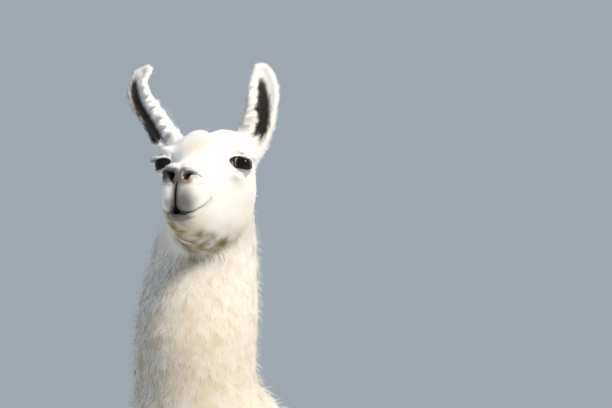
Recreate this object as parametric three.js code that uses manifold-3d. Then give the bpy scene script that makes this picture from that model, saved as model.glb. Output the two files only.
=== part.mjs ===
// A standing white llama at life size, head raised and turned a little to its left, as a still model.
// Millimetres, +Z up. The llama faces -Y and its left side is +X. The solids follow the outline of the
// coat, out to the tips of the wool, and are parted where a person would name the parts of the animal.
import * as THREE from 'three';
import { mergeVertices } from 'three/addons/utils/BufferGeometryUtils.js';
import Module from 'manifold-3d';

const wasm = await Module();
wasm.setup();

// ---- Driving dimensions ----
const GAP = 0.4; // width of the cuts that part the body
const HEAD_HEIGHT = 1556; // height of the mouth line under the poll, where the head's own frame stands
const HEAD_ASIDE = 4; // how far the head is carried to the llama's left of the middle
const HEAD_PITCH = 6; // degrees that the nose is raised from a level mouth line
const HEAD_TURN = 18; // degrees that the head turns to the llama's left
// The eyeball's middle in the head's frame, and the degrees that it looks out to the side.
const EYE = { out: 61, forward: 117, up: 90, radius: 20, facing: 52 };
// Middle of each foot in the standing animal, whose poll is at y = 0.
const FORE_FOOT = { out: 104, y: 118 };
const HIND_FOOT = { out: 112, y: 905 };
const TOE = { apart: 20, halfWidth: 19, heel: 30, front: 52 }; // apart is from the foot's middle

// ---- Geometry helpers ----

// A manifold-3d solid from a closed three.js geometry.
function solid(geometry) {
  geometry.deleteAttribute('normal');
  geometry.deleteAttribute('uv');
  const merged = mergeVertices(geometry, 1e-3);
  return new wasm.Manifold(
    new wasm.Mesh({
      numProp: 3,
      vertProperties: new Float32Array(merged.attributes.position.array),
      triVerts: new Uint32Array(merged.index.array),
    }),
  );
}

// A three.js geometry from a manifold-3d solid.
function geometryOf(shape) {
  const mesh = shape.getMesh();
  return new THREE.BufferGeometry()
    .setAttribute('position', new THREE.BufferAttribute(mesh.vertProperties, 3))
    .setIndex(new THREE.BufferAttribute(mesh.triVerts, 1));
}

// A smooth curve through three values of every station; tracks of the same stations run in step.
function track(stations, read) {
  const points = stations.map((s) => new THREE.Vector3(...read(s)));
  return new THREE.CatmullRomCurve3(points, false, 'catmullrom', 0.5);
}

const superCos = (angle, power) => Math.sign(Math.cos(angle)) * Math.abs(Math.cos(angle)) ** power;
const superSin = (angle, power) => Math.sign(Math.sin(angle)) * Math.abs(Math.sin(angle)) ** power;

// A closed body through stations { at, half, square, taper }: at is the middle of the section, half its
// half width and half depth, square how boxy it is (2 is an ellipse), and taper how much its width grows
// upwards. Sections stand across the path, with their width along X, or turned to the front by `facing`,
// or they stand in the upright XZ plane.
function loft(stations, { sides = 20, rings = 16, facing = null, upright = false } = {}) {
  const path = track(stations, (s) => s.at);
  const size = track(stations, (s) => [s.half[0], s.half[1], s.square ?? 2]);
  const lean = track(stations, (s) => [s.taper ?? 0, 0, 0]);
  const geometry = new THREE.CylinderGeometry(1, 1, 1, sides, rings);
  const place = geometry.attributes.position;
  const wide = new THREE.Vector3();
  const deep = new THREE.Vector3();
  for (let i = 0; i < place.count; i++) {
    const share = THREE.MathUtils.clamp(place.getY(i) + 0.5, 0, 1);
    const angle = Math.atan2(place.getZ(i), place.getX(i));
    const radius = Math.hypot(place.getX(i), place.getZ(i));
    const half = size.getPoint(share);
    const along = path.getTangent(share);
    wide.set(1, 0, 0).addScaledVector(along, -along.x).normalize();
    if (facing) wide.crossVectors(facing, along).normalize();
    deep.crossVectors(wide, along);
    if (upright) {
      wide.set(1, 0, 0);
      deep.set(0, 0, 1);
    }
    const power = 2 / half.z;
    const up = superSin(angle, power);
    const out = superCos(angle, power) * (1 + lean.getPoint(share).x * up);
    const point = path.getPoint(share);
    point.addScaledVector(wide, radius * out * half.x).addScaledVector(deep, radius * up * half.y);
    place.setXYZ(i, point.x, point.y, point.z);
  }
  const made = solid(geometry);
  return made.volume() < 0 ? solid(flipped(geometry)) : made;
}

// The same geometry with its faces turned round.
function flipped(geometry) {
  const index = geometry.index.array;
  for (let i = 0; i < index.length; i += 3) [index[i + 1], index[i + 2]] = [index[i + 2], index[i + 1]];
  return geometry;
}

function ellipsoid(centre, half, sides = 16) {
  const geometry = new THREE.SphereGeometry(1, sides, Math.round(sides * 0.75));
  geometry.scale(...half);
  geometry.translate(...centre);
  return solid(geometry);
}

// A thin cutting sheet that runs from p to q, given as [y, z], and spans `reach` to each side of the middle.
function sheet(p, q, reach) {
  const geometry = new THREE.BoxGeometry(2 * reach, Math.hypot(q[0] - p[0], q[1] - p[1]), GAP);
  geometry.rotateX(Math.atan2(q[1] - p[1], q[0] - p[0]));
  geometry.translate(0, (p[0] + q[0]) / 2, (p[1] + q[1]) / 2);
  return solid(geometry);
}

// A thin round cutter across one limb or ear.
function disc(centre, normal, radius) {
  const geometry = new THREE.CylinderGeometry(radius, radius, GAP, 12);
  const axle = new THREE.Vector3(0, 1, 0);
  const facing = new THREE.Vector3(...normal).normalize();
  geometry.applyQuaternion(new THREE.Quaternion().setFromUnitVectors(axle, facing));
  geometry.translate(...centre);
  return solid(geometry);
}

const join = (shapes) => shapes.reduce((whole, shape) => whole.add(shape));
const sides = { left: 1, right: -1 };

// ---- Head, in its own frame: x to the left, y back from the nose, z up from the mouth line ----

// The head's own frame placed on the neck.
const headPlace = new THREE.Matrix4()
  .makeTranslation(HEAD_ASIDE, 0, HEAD_HEIGHT)
  .multiply(new THREE.Matrix4().makeRotationZ(THREE.MathUtils.degToRad(HEAD_TURN)))
  .multiply(new THREE.Matrix4().makeRotationX(THREE.MathUtils.degToRad(-HEAD_PITCH)));
const onHead = (shape) => shape.transform(headPlace.elements);

// Upright sections from the poll to the nose: forward of the poll, top and bottom above the mouth line.
function skull() {
  const section = (forward, top, bottom, half, square, taper) => ({
    at: [0, -forward, (top + bottom) / 2],
    half: [half, (top - bottom) / 2],
    square,
    taper,
  });
  return loft(
    [
      section(-12, 110, 16, 34, 2.1, 0),
      section(0, 135, -8, 58, 2.1, 0.02),
      section(22, 150, -36, 70, 2.1, 0.02),
      section(50, 157, -52, 77, 2.4, 0.04),
      section(80, 156, -59, 77, 2.4, 0.08),
      section(108, 146, -59, 74, 2.4, 0.14),
      section(131, 133, -56, 65, 2.4, 0.2),
      section(155, 120, -51, 54, 2.3, 0.12),
      section(185, 105, -45, 44, 2.3, 0.04),
      section(215, 93, -40, 38, 2.3, 0),
      section(240, 84, -36, 35, 2.5, 0),
      section(260, 78, -26, 33, 2.6, 0),
      section(274, 71, -8, 30, 2.5, 0.02),
      section(282, 60, 10, 21, 2.2, 0),
      section(285, 48, 22, 12, 2, 0),
    ],
    { sides: 16, rings: 18, upright: true },
  );
}

// The two rounded halves of the split upper lip, and the chin.
function muzzle() {
  const lips = Object.values(sides).map((s) => ellipsoid([s * 16, -263, 23], [18, 24, 26], 8));
  const chin = ellipsoid([0, -240, -14], [27, 26, 21], 8);
  return join([...lips, chin]);
}

// Brow and cheekbone round each eye, and the deep cheek over the angle of the jaw.
function cheeks() {
  const shapes = Object.values(sides).flatMap((s) => [
    ellipsoid([s * 61, -110, 111], [21, 34, 14], 7),
    ellipsoid([s * 57, -120, 70], [19, 40, 13], 7),
    ellipsoid([s * 39, -82, 4], [31, 50, 42], 7),
  ]);
  return join(shapes);
}

// Slots for the nostrils, deep at the front and drawn out to the side, and the groove between the lips.
function nostrils() {
  const shapes = Object.values(sides).flatMap((s) => [
    ellipsoid([s * 12, -281, 57], [6, 15, 9], 6),
    ellipsoid([s * 24, -268, 56], [12, 14, 4], 6),
  ]);
  return join([...shapes, ellipsoid([0, -292, 16], [3, 14, 22], 6)]);
}

// A long ear along its spine, with seven half widths from root to tip, scooped out on its front.
function ear(spine, facing, widths) {
  const front = new THREE.Vector3(...facing).normalize();
  const depths = [20, 18, 16, 14, 12, 9, 4];
  const curve = new THREE.CatmullRomCurve3(spine.map((p) => new THREE.Vector3(...p)));
  const stations = (from, to, widen, deepen, ahead) =>
    widths.map((width, i) => {
      const share = i / (widths.length - 1);
      const at = curve.getPointAt(from + (to - from) * share).addScaledVector(front, ahead * depths[i]);
      return { at: at.toArray(), half: [Math.max(width + widen, 1.5), depths[i] * deepen] };
    });
  const options = { sides: 8, rings: 8, facing: front };
  const shell = loft(stations(0, 1, 0, 1, 0), options);
  const scoop = loft(stations(0.2, 0.94, -6, 1.4, 1.0), options);
  return shell.subtract(scoop);
}

const leftSpine = [[58, -62, 84], [68, -58, 136], [76, -53, 175], [80, -48, 207], [78, -40, 240]];
const leftTip = [[71, -31, 272]];
const rightSpine = [[-54, -60, 92], [-76, -58, 138], [-103, -55, 176], [-125, -50, 205], [-136, -45, 230]];
const rightTip = [[-132, -41, 250], [-113, -37, 267]];
const leftWidths = [14, 27, 30, 30, 30, 27, 13];
const leftEar = () => ear([...leftSpine, ...leftTip], [0.42, -1, 0.1], leftWidths);
const rightWidths = [13, 26, 26, 23, 24, 23, 11];
const rightEar = () => ear([...rightSpine, ...rightTip], [-0.35, -1, 0.1], rightWidths);

// ---- Neck and trunk ----

// The neck's depth grows towards the chest, while the nape stays nearly upright.
function neck() {
  const section = (z, y, half, deep) => ({ at: [0, y, z], half: [half, deep] });
  return loft(
    [
      section(1668, -42, 37, 33),
      section(1640, -36, 63, 57),
      section(1595, -32, 79, 71),
      section(1550, -32, 86, 78),
      section(1500, -42, 90, 88),
      section(1434, -54, 96, 104),
      section(1367, -66, 98, 112),
      section(1300, -69, 102, 118),
      section(1254, -56, 110, 131),
      section(1190, -26, 129, 162),
      section(1120, 12, 149, 193),
      section(1030, 70, 153, 193),
      section(940, 120, 133, 173),
    ],
    { sides: 18, rings: 12 },
  );
}

// Barrel of the body in upright sections from the breast to the rump, with the wool's outline.
function barrel() {
  const section = (y, top, bottom, half, square) => ({
    at: [0, y, (top + bottom) / 2],
    half: [half, (top - bottom) / 2],
    square,
  });
  return loft(
    [
      section(-118, 1010, 900, 40, 2),
      section(-100, 1050, 830, 92, 2),
      section(-50, 1100, 750, 158, 2.1),
      section(30, 1140, 700, 205, 2.2),
      section(130, 1160, 676, 226, 2.3),
      section(270, 1158, 668, 238, 2.3),
      section(420, 1154, 674, 246, 2.3),
      section(570, 1156, 690, 248, 2.3),
      section(720, 1160, 716, 240, 2.3),
      section(840, 1150, 740, 222, 2.2),
      section(940, 1120, 770, 188, 2.1),
      section(1010, 1070, 810, 138, 2),
      section(1045, 1010, 860, 70, 2),
    ],
    { sides: 18, rings: 13, upright: true },
  );
}

// The short woolly tail hangs over the rump.
function tail() {
  const section = (y, z, half, deep) => ({ at: [0, y, z], half: [half, deep] });
  return loft(
    [
      section(975, 1078, 20, 22),
      section(1026, 1094, 44, 33),
      section(1067, 1080, 58, 37),
      section(1092, 1030, 66, 42),
      section(1097, 960, 62, 42),
      section(1091, 890, 46, 34),
      section(1081, 838, 12, 12),
    ],
    { sides: 10, rings: 9 },
  );
}

// ---- Legs ----

// A leg over its foot at x and y, from stations [outward, back, height, half width, half depth].
function limb(stations, x, y) {
  const section = ([outward, back, z, half, deep]) => ({
    at: [x + Math.sign(x) * outward, y + back, z],
    half: [half, deep],
  });
  return loft(stations.map(section), { sides: 10, rings: stations.length - 1 });
}

// Shoulder, forearm, knee, cannon and pastern.
const foreleg = (s) =>
  limb(
    [
      [26, 10, 960, 52, 90],
      [36, 0, 860, 78, 128],
      [30, 0, 760, 76, 118],
      [18, 2, 660, 66, 92],
      [8, 4, 570, 54, 68],
      [3, 4, 490, 43, 52],
      [0, 0, 420, 38, 42],
      [0, -4, 378, 39, 41],
      [0, 0, 330, 32, 34],
      [0, 4, 240, 28, 30],
      [0, 6, 160, 29, 31],
      [0, 4, 116, 34, 35],
      [0, -4, 76, 33, 34],
      [0, -10, 34, 30, 32],
    ],
    s * FORE_FOOT.out,
    FORE_FOOT.y,
  );

// Thigh, gaskin, hock, cannon and pastern.
const hindleg = (s) =>
  limb(
    [
      [10, -100, 1010, 84, 120],
      [34, -110, 900, 98, 158],
      [42, -112, 800, 96, 152],
      [32, -88, 700, 78, 116],
      [16, -46, 610, 57, 80],
      [6, -6, 530, 42, 55],
      [0, 22, 468, 35, 45],
      [0, 26, 420, 33, 42],
      [0, 18, 360, 30, 35],
      [0, 8, 270, 28, 30],
      [0, 2, 170, 29, 31],
      [0, 0, 118, 34, 35],
      [0, -6, 78, 33, 34],
      [0, -12, 34, 30, 32],
    ],
    s * HIND_FOOT.out,
    HIND_FOOT.y,
  );

// Two padded toes side by side, flat on the floor.
function toes(x, y) {
  const toe = (s) => {
    const at = (ahead, z, spread) => [x + s * (TOE.apart + spread), y - ahead, z];
    return loft(
      [
        { at: at(-TOE.heel - 8, 18, 0), half: [6, 8] },
        { at: at(-TOE.heel, 18, 0), half: [13, 17] },
        { at: at(-6, 22, 0), half: [TOE.halfWidth, 27], square: 2.3 },
        { at: at(18, 22, 1), half: [TOE.halfWidth, 28], square: 2.3 },
        { at: at(38, 16, 2), half: [TOE.halfWidth - 2, 22], square: 2.2 },
        { at: at(TOE.front, 13, 3), half: [12, 13] },
        { at: at(TOE.front + 6, 12, 3), half: [4, 5] },
      ],
      { sides: 8, rings: 5, upright: true },
    );
  };
  return join([toe(1), toe(-1)]);
}

// The curved nail at the tip of one toe, above the floor.
const nail = (x, y, s, room) => {
  const at = (ahead, z) => [x + s * (TOE.apart + 3), y - ahead, z];
  return loft(
    [
      { at: at(TOE.front - 12 - room, 27 + room), half: [8 + room, 8 + room] },
      { at: at(TOE.front + 2, 23), half: [8.5 + room, 8 + room] },
      { at: at(TOE.front + 13, 14), half: [6.5 + room, 6 + room] },
      { at: at(TOE.front + 21 + room, 6 - room), half: [2 + room, 2.2 + room] },
    ],
    { sides: 5, rings: 3 },
  );
};

// ---- The whole animal, then the cuts ----

const feet = Object.entries({ fore: FORE_FOOT, hind: HIND_FOOT }).flatMap(([end, foot]) =>
  Object.entries(sides).map(([side, s]) => ({ name: `${end}_${side}`, x: s * foot.out, y: foot.y - 14 })),
);
const underFloor = solid(new THREE.BoxGeometry(900, 3000, 200).translate(0, 300, -100));

const eyes = Object.entries(sides).map(([side, s]) => ({
  name: `eye_${side}`,
  centre: [s * EYE.out, -EYE.forward, EYE.up],
}));
const eyeBall = (eye, radius) => onHead(ellipsoid(eye.centre, [radius, radius, radius], 10));

// The slit between the lids, open to the front and side.
function lidOpening(s) {
  const geometry = new THREE.SphereGeometry(1, 10, 6);
  geometry.scale(20, 14, 13);
  geometry.rotateZ(THREE.MathUtils.degToRad(s * EYE.facing));
  const ahead = THREE.MathUtils.degToRad(EYE.facing);
  const out = EYE.out + EYE.radius * Math.sin(ahead);
  const forward = EYE.forward + EYE.radius * Math.cos(ahead);
  geometry.translate(s * out, -forward, EYE.up);
  return solid(geometry);
}

const hollows = join([lidOpening(sides.left), lidOpening(sides.right), nostrils()]);
const headWhole = join([skull(), muzzle(), cheeks()]).subtract(hollows);
const flesh = join([
  barrel(),
  neck(),
  onHead(headWhole),
  onHead(leftEar()),
  onHead(rightEar()),
  tail(),
  ...Object.values(sides).flatMap((s) => [foreleg(s), hindleg(s)]),
  ...feet.map((foot) => toes(foot.x, foot.y)),
]).subtract(underFloor);

const nails = feet.flatMap((foot) =>
  Object.entries({ outer: Math.sign(foot.x), inner: -Math.sign(foot.x) }).map(([which, s]) => ({
    name: `nail_${foot.name}_${which}`,
    shape: nail(foot.x, foot.y, s, 0),
    socket: nail(foot.x, foot.y, s, GAP),
  })),
);

const cuts = [
  // Poll to jaw angle, throat, ramus and mouth, in the head's frame.
  onHead(sheet([95, 175], [-93, -59], 130)),
  onHead(sheet([-91, -59], [-175, -69], 130)),
  onHead(sheet([-92, -61], [-92, 22], 130)),
  onHead(sheet([-90, 20], [-320, -2], 130)),
  // Ears off the crown.
  onHead(disc([71, -56, 140], [0.42, 0, 0.91], 44)),
  onHead(disc([-77, -56, 142], [-0.56, 0, 0.83], 42)),
  // Neck in two lengths, and off the trunk; tail off the rump.
  sheet([-300, 1330], [200, 1330], 200),
  sheet([-260, 1010], [320, 1237], 250),
  sheet([1034, 1046], [1060, 1138], 80),
  // Each leg off the trunk, at the knee or hock, and at the fetlock.
  ...Object.values(sides).flatMap((s) => [
    disc([s * 124, 120, 640], [0, 0, 1], 108),
    disc([s * 104, 116, 380], [0, 0, 1], 70),
    disc([s * 104, 118, 128], [0, 0, 1], 70),
    disc([s * 134, 838, 640], [0, 0, 1], 118),
    disc([s * 112, 930, 440], [0, 0, 1], 70),
    disc([s * 112, 906, 128], [0, 0, 1], 70),
  ]),
];

// Each part of the flesh by a point near its middle, in the body's frame.
const inHead = (x, forward, up) => new THREE.Vector3(x, -forward, up).applyMatrix4(headPlace);
const landmarks = {
  head: inHead(0, 100, 80),
  lower_jaw: inHead(0, 200, -15),
  ear_left: inHead(78, 48, 205),
  ear_right: inHead(-112, 48, 205),
  neck_upper: new THREE.Vector3(0, -60, 1430),
  neck_lower: new THREE.Vector3(0, -50, 1230),
  trunk: new THREE.Vector3(0, 450, 900),
  tail: new THREE.Vector3(0, 1086, 940),
};
for (const [side, s] of Object.entries(sides)) {
  for (const [end, foot, levels] of [
    ['fore', FORE_FOOT, { upper: 520, lower: 250, foot: 60 }],
    ['hind', HIND_FOOT, { upper: 540, lower: 280, foot: 60 }],
  ]) {
    for (const [part, z] of Object.entries(levels)) {
      landmarks[`${end}_${side}_${part}`] = new THREE.Vector3(s * foot.out, foot.y, z);
    }
  }
}

let parted = flesh;
for (const shape of cuts) parted = parted.subtract(shape);
for (const eye of eyes) parted = parted.subtract(eyeBall(eye, EYE.radius + GAP));
for (const one of nails) parted = parted.subtract(one.socket);

// ---- Nodes ----

const coat = new THREE.MeshStandardMaterial({ color: 0xf1ebdf, roughness: 0.95, metalness: 0 });
const eyeFinish = new THREE.MeshStandardMaterial({ color: 0x17110f, roughness: 0.08, metalness: 0 });
const nailFinish = new THREE.MeshStandardMaterial({ color: 0x4a4038, roughness: 0.5, metalness: 0 });

const llama = new THREE.Group();
llama.name = 'llama';

function addNode(name, shape, material) {
  const mesh = new THREE.Mesh(geometryOf(shape), material);
  mesh.name = name;
  llama.add(mesh);
}

// How far the middle of a shape's box is from a point.
const distanceTo = (shape, point) => {
  const { min, max } = shape.boundingBox();
  const box = new THREE.Box3(new THREE.Vector3(...min), new THREE.Vector3(...max));
  return box.getCenter(new THREE.Vector3()).distanceTo(point);
};
const pieces = parted.decompose();
for (const [name, point] of Object.entries(landmarks)) {
  const nearest = pieces.reduce((a, b) => (distanceTo(b, point) < distanceTo(a, point) ? b : a));
  addNode(name, nearest, coat);
}
for (const eye of eyes) addNode(eye.name, eyeBall(eye, EYE.radius), eyeFinish);
for (const one of nails) addNode(one.name, one.shape, nailFinish);

// The middle of the box round the animal stands on the origin, with the soles at zero.
const bounds = new THREE.Box3().setFromObject(llama);
const middle = bounds.getCenter(new THREE.Vector3());
for (const mesh of llama.children) mesh.geometry.translate(-middle.x, -middle.y, -bounds.min.z);

export default llama;
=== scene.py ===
"""A standing white llama at life size, as a still display model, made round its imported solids.

Metres, +Z up. The llama faces -Y, its left side is +X, and its head is turned a little to its left.
"""

from math import cos, pi, radians, sin

import bmesh
import bpy
import numpy as np
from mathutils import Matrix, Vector
from mathutils.bvhtree import BVHTree
from mathutils.kdtree import KDTree


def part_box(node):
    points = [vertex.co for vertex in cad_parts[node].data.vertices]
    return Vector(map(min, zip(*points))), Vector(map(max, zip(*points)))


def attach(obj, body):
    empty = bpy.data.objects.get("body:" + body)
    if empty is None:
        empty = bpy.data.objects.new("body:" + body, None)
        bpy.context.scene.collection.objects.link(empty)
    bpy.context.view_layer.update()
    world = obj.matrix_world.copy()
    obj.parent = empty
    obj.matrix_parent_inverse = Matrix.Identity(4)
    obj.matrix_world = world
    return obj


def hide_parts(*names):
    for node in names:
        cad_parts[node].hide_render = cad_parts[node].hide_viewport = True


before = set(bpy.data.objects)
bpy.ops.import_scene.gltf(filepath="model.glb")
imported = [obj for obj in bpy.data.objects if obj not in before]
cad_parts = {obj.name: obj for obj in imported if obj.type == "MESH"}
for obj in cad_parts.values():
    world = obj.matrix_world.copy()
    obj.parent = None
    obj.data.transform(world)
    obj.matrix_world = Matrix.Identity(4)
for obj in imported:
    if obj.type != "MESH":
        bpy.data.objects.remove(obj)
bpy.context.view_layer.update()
MM = 0.001

# ---- Hide ----
# One skin covers the llama from the lips to the toes. It is drawn over the flesh of every part and lies under
# its outline by the depth of the coat. Round the eyes and nose it is fine enough to fold into lids and lips.

HIDE_CELL = 4 * MM
WELD = 0.01 * MM  # Points closer together than this are one.
EYE_MIDDLE = np.array([61.0, 117.0, 90.0])  # of the left eye, in millimetres in the head's own frame
HEAD_TURN, HEAD_PITCH = radians(18), radians(6)
FLESH = sorted(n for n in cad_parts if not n.startswith(("eye_", "nail_")))
# How far the skin lies under the solids of each part, which reach to the tips of the coat.
COAT_DEPTH = {
    "head": 3.5 * MM, "lower_jaw": 1 * MM, "ear_left": 1 * MM, "ear_right": 1 * MM,
    "neck_upper": 6 * MM, "neck_lower": 12 * MM, "trunk": 15 * MM, "tail": 12 * MM,
    "upper": 8 * MM, "lower": 4 * MM, "foot": 2.5 * MM,
}


def middle(node):
    low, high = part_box(node)
    return np.array((low + high) / 2)


# The head's own frame: out to its left, forward to its nose, and up from the line of the mouth.
turned = np.array([[cos(HEAD_TURN), -sin(HEAD_TURN), 0], [sin(HEAD_TURN), cos(HEAD_TURN), 0], [0, 0, 1]])
pitched = np.array([[1, 0, 0], [0, cos(HEAD_PITCH), sin(HEAD_PITCH)], [0, -sin(HEAD_PITCH), cos(HEAD_PITCH)]])
HEAD_AXES = turned @ pitched @ np.diag((1, -1, 1))
HEAD_ORIGIN = (middle("eye_left") + middle("eye_right")) / 2 - HEAD_AXES @ (EYE_MIDDLE * (0, 1, 1) * MM)


def to_head(points):
    return (points - HEAD_ORIGIN) @ HEAD_AXES


def from_head(points):
    return HEAD_ORIGIN + np.asarray(points) @ HEAD_AXES.T


def ramp(low, high, value):
    """0 below low, 1 above high, smooth between; low may be the larger."""
    share = np.clip((value - low) / (high - low), 0, 1)
    return share * share * (3 - 2 * share)


def far_from(points, centre, weight=1):
    """Distance of each point from a centre, with every direction counted by its weight."""
    return np.linalg.norm((points - centre) * weight, axis=1)


def unit(rows):
    return rows / np.maximum(np.linalg.norm(rows, axis=1), 1e-9)[:, None]


def placed(name, data):
    """An object in the scene, of that mesh, light or camera."""
    thing = bpy.data.objects.new(name, data)
    bpy.context.scene.collection.objects.link(thing)
    return thing


def read(rows, field, width=3, kind=float):
    """One field of every row of a mesh's data, as an array of that width."""
    flat = np.empty(width * len(rows), np.float32 if kind is float else kind)
    rows.foreach_get(field, flat)
    return flat.reshape(-1, width).astype(kind)


def read_points(mesh):
    return read(mesh.vertices, "co")


def write(rows, field, values, kind=np.float32):
    rows.foreach_set(field, values.astype(kind).ravel())


def write_points(mesh, points):
    write(mesh.vertices, "co", points)
    mesh.update()


def read_normals(mesh):
    return read(mesh.vertex_normals, "vector")


def read_edges(mesh):
    return read(mesh.edges, "vertices", 2, np.int32)


def relax(values, edges, rounds, strength=0.5):
    """Draws each of the values, in place, towards the mean of its neighbours."""
    count = len(values)
    near, far = edges.T
    degree = np.maximum(np.bincount(edges.ravel(), minlength=count), 1)
    columns = values[:, None] if values.ndim == 1 else values
    for _ in range(rounds):
        for k in range(columns.shape[1]):
            column = columns[:, k]
            total = np.bincount(near, column[far], count) + np.bincount(far, column[near], count)
            columns[:, k] = column + strength * (total / degree - column)
    return values


def joined_flesh():
    """One mesh of all the flesh, with the eyeballs in their sockets, and the part that each face is of."""
    joined = bmesh.new()
    part = joined.faces.layers.int.new("part")
    for index, name in enumerate([*FLESH, "eye_left", "eye_right"]):
        before = len(joined.faces)
        joined.from_mesh(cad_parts[name].data)
        joined.faces.ensure_lookup_table()
        for face in joined.faces[before:]:
            face[part] = index if index < len(FLESH) else FLESH.index("head")
    bmesh.ops.remove_doubles(joined, verts=joined.verts, dist=WELD)
    return joined


def outer_shell(mesh):
    """Deletes all but the largest connected shell of a mesh."""
    shell = bmesh.new()
    shell.from_mesh(mesh)
    left, largest = set(shell.verts), []
    while left:
        found = [left.pop()]
        for vertex in found:
            touching = {edge.other_vert(vertex) for edge in vertex.link_edges} & left
            left -= touching
            found += touching
        largest = max(largest, found, key=len)
    bmesh.ops.delete(shell, geom=list(set(shell.verts).difference(largest)), context="VERTS")
    shell.to_mesh(mesh)
    shell.free()


def applied(holder):
    """The mesh that an object's modifiers make; the object and its own mesh are deleted."""
    draft = holder.data
    result = bpy.data.meshes.new_from_object(holder.evaluated_get(bpy.context.evaluated_depsgraph_get()))
    bpy.data.objects.remove(holder)
    bpy.data.meshes.remove(draft)
    return result


flesh = joined_flesh()
flesh_tree = BVHTree.FromBMesh(flesh)
flesh.faces.ensure_lookup_table()
part_layer = flesh.faces.layers.int["part"]
draft = bpy.data.meshes.new("hide_draft")
flesh.to_mesh(draft)
holder = placed("hide_draft", draft)
cover = holder.modifiers.new("cover", "REMESH")
cover.mode = "VOXEL"
cover.voxel_size = HIDE_CELL
hide_mesh = applied(holder)
outer_shell(hide_mesh)
hide_mesh.name = "hide"


def nearest_parts(points):
    """The name of the part of flesh nearest to each point."""
    faces = [flesh.faces[flesh_tree.find_nearest(Vector(p))[2]] for p in points]
    return np.array(FLESH)[[face[part_layer] for face in faces]]


def by_part(names, values, otherwise=0.0):
    """The value of each part by its whole name, or by the end of it, or else otherwise."""
    kinds, rows = np.unique(names, return_inverse=True)
    return np.array([values.get(n, values.get(n.split("_")[-1], otherwise)) for n in kinds])[rows]


def split_finer(mesh, chosen):
    """Halves every edge that runs between two chosen vertices, closing the rest with triangles."""
    fine = bmesh.new()
    fine.from_mesh(mesh)
    fine.verts.ensure_lookup_table()
    edges = [e for e in fine.edges if chosen[e.verts[0].index] and chosen[e.verts[1].index]]
    bmesh.ops.subdivide_edges(fine, edges=edges, cuts=1, use_grid_fill=True)
    fine.to_mesh(mesh)
    fine.free()


def along_line(places, start, end):
    """Share of the way along a line where each place is nearest to it, and the distance between them."""
    line = end - start
    share = np.clip((places - start) @ line / max(line @ line, 1e-9), 0, 1)
    return share, np.linalg.norm(places - start - share[:, None] * line, axis=1)


def outline_gap(places, outline):
    """Distance of each flat place from a closed outline, negative inside it."""
    gap = np.full(len(places), np.inf)
    inside = np.zeros(len(places), bool)
    x, y = places.T
    for start, end in zip(outline, np.roll(outline, -1, axis=0)):
        gap = np.minimum(gap, along_line(places, start, end)[1])
        run, rise = end - start
        inside ^= ((start[1] > y) != (end[1] > y)) & (x < start[0] + (y - start[1]) * run / (rise or 1))
    return np.where(inside, -gap, gap)


def smooth_track(stations, steps, closed=False):
    """Points on a smooth curve through rows of values, with so many steps between two of them."""
    stations = np.array(stations, float)
    if closed:
        row = np.concatenate([stations[-1:], stations, stations[:2]])
    else:
        before, after = 2 * stations[:1] - stations[1:2], 2 * stations[-1:] - stations[-2:-1]
        row = np.concatenate([before, stations, after])
    share = (np.arange(steps) / steps)[:, None]
    spans = []
    for p, q, r, s in zip(row, row[1:], row[2:], row[3:]):
        bend = 2 * q + (r - p) * share + (2 * p - 5 * q + 4 * r - s) * share**2
        spans.append((bend + (3 * q - p - 3 * r + s) * share**3) / 2)
    return np.concatenate(spans if closed else [*spans, stations[-1:]])


# The cuts and facets of the solids are smoothed away, least where the form is small.
points = read_points(hide_mesh)
edges = read_edges(hide_mesh)
part_of = nearest_parts(points)
EARS_SOFT, FEET_SOFT, HEAD_SOFT, REST_SOFT = 0.07, 0.2, 0.18, 0.6
softness = by_part(part_of, {"left": EARS_SOFT, "right": EARS_SOFT, "foot": FEET_SOFT,
                             "head": HEAD_SOFT, "jaw": HEAD_SOFT}, REST_SOFT)
relax(softness, edges, 8)
relax(points, edges, 40, softness)
write_points(hide_mesh, points)
# The neck flows into the shoulders and withers, where neck and trunk count about the same.
neck_here = relax(by_part(part_of, {"neck_lower": 1.0}), edges, 300)
relax(points, edges, 150, 0.6 * ramp(0.1, 0.5, 4 * neck_here * (1 - neck_here)))
write_points(hide_mesh, points)
# The skin sinks in by the depth of the coat, which is shallow at the root of the tail and on the nose.
depth = relax(by_part(part_of, COAT_DEPTH), edges, 120)
tail_low, tail_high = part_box("tail")
depth += (4 * MM - depth) * ramp(0.17, 0.07, far_from(points, (0, tail_low[1], tail_high[2])))
depth += (1.5 * MM - depth) * ramp(0.19, 0.24, to_head(points)[:, 1])
points -= read_normals(hide_mesh) * depth[:, None]
relax(points, edges, 4, softness * 0.5)
write_points(hide_mesh, points)

# The head is split finer, again round the eyes, nose and mouth, and once more at the edges of the lids.
# From here on the head is shaped in its own frame, in millimetres.
EYE_FACING = radians(52)
EYE_RADIUS = 19.0


def eye_axes(side):
    """Onwards round to the nose, upwards, and outwards along the axis of one eye."""
    return np.array([(-side * cos(EYE_FACING), sin(EYE_FACING), 0), (0, 0, 1),
                     (side * sin(EYE_FACING), cos(EYE_FACING), 0)])


def eye_places(head, side):
    """Degrees round to the nose, degrees up, and distance, of points seen from the middle of one eye."""
    onward, _, outward = eye_axes(side)
    away = head - EYE_MIDDLE * (side, 1, 1)
    distance = np.linalg.norm(away, axis=1)
    round_to_nose = np.degrees(np.arctan2(away @ onward, away @ outward))
    return round_to_nose, np.degrees(np.arcsin(away[:, 2] / distance)), distance


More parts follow.
